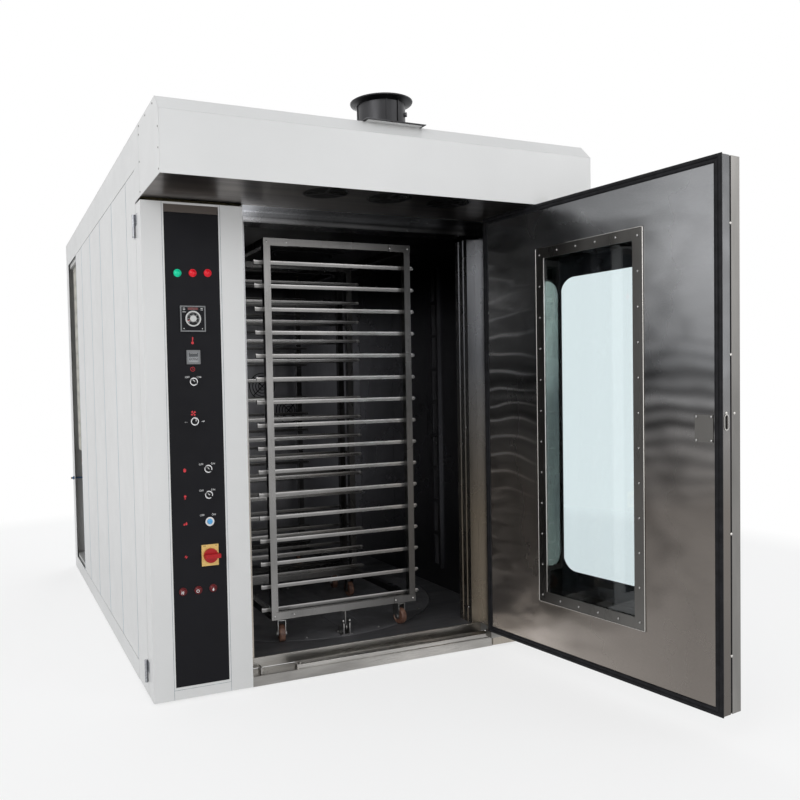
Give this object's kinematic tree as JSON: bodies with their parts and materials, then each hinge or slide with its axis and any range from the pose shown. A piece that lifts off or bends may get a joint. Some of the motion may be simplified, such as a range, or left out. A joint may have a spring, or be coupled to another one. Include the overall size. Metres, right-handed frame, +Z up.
{
  "type": "rotary rack oven",
  "caption": "Tall insulated baking oven with a glazed hinged door, a floor turntable for tray trolleys, a control column and an extraction hood.",
  "frame": {"origin": "on the turntable's axis at floor level, at the face of the centre foot under the turntable's drive", "axes": "+Z up, +Y from the doorway into the oven, +X to the right as seen by the cook"},
  "size_m": [1.832, 3.932, 2.303],
  "materials": {
    "painted_panel": "satin powder coat, pale grey-white",
    "frame_steel": "grey primer",
    "stainless": "brushed stainless sheet",
    "stainless_dark": "heat-tinted stainless sheet",
    "stainless_bright": "bright stainless",
    "trolley_steel": "satin stainless tube",
    "wool": "mineral wool",
    "lagging": "quilted glass cloth",
    "foil": "crinkled foil",
    "black_panel": "satin black",
    "lamp_red": "translucent dome",
    "grey_plastic": "moulded, fine grain",
    "white_plastic": "moulded",
    "black_plastic": "moulded",
    "blue_plastic": "lit translucent",
    "yellow_plastic": "moulded",
    "red_plastic": "moulded",
    "chrome_trim": "polished",
    "gasket": "silicone bulb seal",
    "glass": "clear float glass",
    "zinc": "zinc plated",
    "wheel": "brown phenolic resin",
    "copper_steel": "heat-tinted steel",
    "burner_paint": "enamel",
    "motor_paint": "enamel",
    "electrics": "moulded housings on zinc plate"
  },
  "bodies": {
    "cabinet": {"cabinet_frame": "frame_steel", "chamber_floor": "stainless_dark", "chamber_liner": "stainless_dark", "wall_insulation": "wool", "side_panels": "painted_panel", "rear_panels": "painted_panel", "hood_shell": "painted_panel", "hood_underside": "stainless", "flue_collar": "stainless_dark", "door_frame": "stainless", "sill": "stainless", "column_carcass": "painted_panel", "electrics_plate": "electrics", "heat_exchanger": "copper_steel", "burner": "burner_paint", "fan_motors": "motor_paint", "rear_lagging": "lagging", "foil_duct": "foil"},
    "column_cover": {"column_cover": "painted_panel", "control_panel": "black_panel", "indicator_lamps": "lamp_red", "instruments": "grey_plastic", "isolator_plate": "yellow_plastic", "column_trim": "chrome_trim"},
    "door": {"door_outer_skin": "stainless", "door_core": "wool", "door_inner_skin": "stainless", "door_gasket": "gasket", "window_frame": "stainless", "window_glass": "glass", "door_hardware": "stainless_bright"},
    "hood_fan_1": {"hood_fan_1": "black_plastic"},
    "hood_fan_2": {"hood_fan_2": "black_plastic"},
    "hood_fan_3": {"hood_fan_3": "black_plastic"},
    "circulation_fan": {"circulation_fan": "frame_steel"},
    "temperature_dial": {"temperature_dial": "white_plastic"},
    "time_knob": {"knob_time": "black_plastic"},
    "fan_knob": {"knob_fan": "black_plastic"},
    "manual_knob": {"knob_manual": "black_plastic"},
    "light_knob": {"knob_light": "black_plastic"},
    "burner_button": {"burner_button": "blue_plastic"},
    "isolator_handle": {"isolator_handle": "red_plastic"},
    "door_handle": {"door_handle": "black_plastic"},
    "latch_tongue": {"latch_tongue": "stainless_bright"},
    "turntable": {"turntable": "stainless_dark", "turntable_latch": "stainless_bright"},
    "trolley_front": {"trolley_front_frame": "trolley_steel", "trolley_front_rails": "stainless_bright"},
    "trolley_front_fork_left": {"trolley_front_fork_left": "zinc"},
    "trolley_front_wheel_left": {"trolley_front_wheel_left": "wheel"},
    "trolley_front_fork_right": {"trolley_front_fork_right": "zinc"},
    "trolley_front_wheel_right": {"trolley_front_wheel_right": "wheel"},
    "trolley_front_wheels_rear": {"trolley_front_wheels_rear": "wheel"},
    "trolley_rear": {"trolley_rear_frame": "trolley_steel", "trolley_rear_rails": "stainless_bright"},
    "trolley_rear_fork_left": {"trolley_rear_fork_left": "zinc"},
    "trolley_rear_wheel_left": {"trolley_rear_wheel_left": "wheel"},
    "trolley_rear_fork_right": {"trolley_rear_fork_right": "zinc"},
    "trolley_rear_wheel_right": {"trolley_rear_wheel_right": "wheel"},
    "trolley_rear_wheels_rear": {"trolley_rear_wheels_rear": "wheel"}
  },
  "joints": [
    {"name": "door_hinge", "type": "hinge", "parent": "cabinet", "child": "door", "pos_m": [0.67, -0.938, 1], "axis": [0, 0, 1], "range_deg": [-97, 22]},
    {"name": "door_handle_turn", "type": "hinge", "parent": "door", "child": "door_handle", "pos_m": [0.78457, -2.03522, 1.063], "axis": [-0.9925, -0.1219, 0], "range_deg": [0, 45], "stiffness_Nm_per_rad": 2, "springref_deg": -20.05},
    {"name": "latch_tongue_slide", "type": "slide", "parent": "door", "child": "latch_tongue", "axis": [-0.1219, 0.9925, 0], "range_m": [0, 0.02]},
    {"name": "column_cover_hinge", "type": "hinge", "parent": "cabinet", "child": "column_cover", "pos_m": [-0.912, -0.812, 1], "axis": [0, 0, 1], "range_deg": [-110, 0]},
    {"name": "temperature_dial_turn", "type": "hinge", "parent": "column_cover", "child": "temperature_dial", "pos_m": [-0.716, -0.9157, 1.474], "axis": [0, 1, 0], "range_deg": [0, 270]},
    {"name": "time_knob_turn", "type": "hinge", "parent": "column_cover", "child": "time_knob", "pos_m": [-0.719, -0.9157, 1.233], "axis": [0, 1, 0], "range_deg": [0, 90]},
    {"name": "fan_knob_turn", "type": "hinge", "parent": "column_cover", "child": "fan_knob", "pos_m": [-0.719, -0.9157, 1.08], "axis": [0, 1, 0], "range_deg": [-135, 135]},
    {"name": "manual_knob_turn", "type": "hinge", "parent": "column_cover", "child": "manual_knob", "pos_m": [-0.671, -0.9157, 0.894], "axis": [0, 1, 0], "range_deg": [0, 90]},
    {"name": "light_knob_turn", "type": "hinge", "parent": "column_cover", "child": "light_knob", "pos_m": [-0.671, -0.9157, 0.793], "axis": [0, 1, 0], "range_deg": [0, 90]},
    {"name": "burner_button_press", "type": "slide", "parent": "column_cover", "child": "burner_button", "axis": [0, 1, 0], "range_m": [0, 0.003], "stiffness_N_per_m": 300, "springref_m": -0.001},
    {"name": "isolator_turn", "type": "hinge", "parent": "column_cover", "child": "isolator_handle", "pos_m": [-0.672, -0.9157, 0.557], "axis": [0, 1, 0], "range_deg": [-90, 0]},
    {"name": "hood_fan_1_spin", "type": "hinge", "parent": "cabinet", "child": "hood_fan_1", "pos_m": [-0.266, -1.186, 1.95], "axis": [0, 0, 1], "continuous": true},
    {"name": "hood_fan_2_spin", "type": "hinge", "parent": "cabinet", "child": "hood_fan_2", "pos_m": [0, -1.186, 1.95], "axis": [0, 0, 1], "continuous": true},
    {"name": "hood_fan_3_spin", "type": "hinge", "parent": "cabinet", "child": "hood_fan_3", "pos_m": [0.266, -1.186, 1.95], "axis": [0, 0, 1], "continuous": true},
    {"name": "circulation_fan_spin", "type": "hinge", "parent": "cabinet", "child": "circulation_fan", "pos_m": [0, 1.32, 2.03], "axis": [0, 0, 1], "continuous": true},
    {"name": "turntable_spin", "type": "hinge", "parent": "cabinet", "child": "turntable", "pos_m": [0, 0, 0], "axis": [0, 0, 1], "range_deg": [-360, 360]},
    {"name": "trolley_front_roll", "type": "slide", "parent": "turntable", "child": "trolley_front", "axis": [0, -1, 0], "range_m": [0, 2.05]},
    {"name": "trolley_front_fork_left_swivel", "type": "hinge", "parent": "trolley_front", "child": "trolley_front_fork_left", "pos_m": [-0.2905, -0.648, 0.19], "axis": [0, 0, 1], "continuous": true},
    {"name": "trolley_front_wheel_left_spin", "type": "hinge", "parent": "trolley_front_fork_left", "child": "trolley_front_wheel_left", "pos_m": [-0.29424, -0.66561, 0.1283], "axis": [0.9781, -0.2079, 0], "continuous": true},
    {"name": "trolley_front_fork_right_swivel", "type": "hinge", "parent": "trolley_front", "child": "trolley_front_fork_right", "pos_m": [0.2905, -0.648, 0.19], "axis": [0, 0, 1], "continuous": true},
    {"name": "trolley_front_wheel_right_spin", "type": "hinge", "parent": "trolley_front_fork_right", "child": "trolley_front_wheel_right", "pos_m": [0.29332, -0.66578, 0.1283], "axis": [0.9877, 0.1564, 0], "continuous": true},
    {"name": "trolley_front_wheels_rear_spin", "type": "hinge", "parent": "trolley_front", "child": "trolley_front_wheels_rear", "pos_m": [0, -0.107, 0.1283], "axis": [1, 0, 0], "continuous": true},
    {"name": "trolley_rear_roll", "type": "slide", "parent": "turntable", "child": "trolley_rear", "axis": [0, -1, 0], "range_m": [0, 2.05]},
    {"name": "trolley_rear_fork_left_swivel", "type": "hinge", "parent": "trolley_rear", "child": "trolley_rear_fork_left", "pos_m": [-0.2905, 0.107, 0.19], "axis": [0, 0, 1], "continuous": true},
    {"name": "trolley_rear_wheel_left_spin", "type": "hinge", "parent": "trolley_rear_fork_left", "child": "trolley_rear_wheel_left", "pos_m": [-0.28862, 0.0891, 0.1283], "axis": [0.9945, 0.1045, 0], "continuous": true},
    {"name": "trolley_rear_fork_right_swivel", "type": "hinge", "parent": "trolley_rear", "child": "trolley_rear_fork_right", "pos_m": [0.2905, 0.107, 0.19], "axis": [0, 0, 1], "continuous": true},
    {"name": "trolley_rear_wheel_right_spin", "type": "hinge", "parent": "trolley_rear_fork_right", "child": "trolley_rear_wheel_right", "pos_m": [0.288, 0.08918, 0.1283], "axis": [0.9903, -0.1392, 0], "continuous": true},
    {"name": "trolley_rear_wheels_rear_spin", "type": "hinge", "parent": "trolley_rear", "child": "trolley_rear_wheels_rear", "pos_m": [0, 0.648, 0.1283], "axis": [1, 0, 0], "continuous": true}
  ],
  "couplings": [
    {"joint": "latch_tongue_slide", "follows": "door_handle_turn", "m_per_rad": 0.025465},
    {"joint": "trolley_rear_roll", "follows": "trolley_front_roll", "ratio": 1}
  ]
}
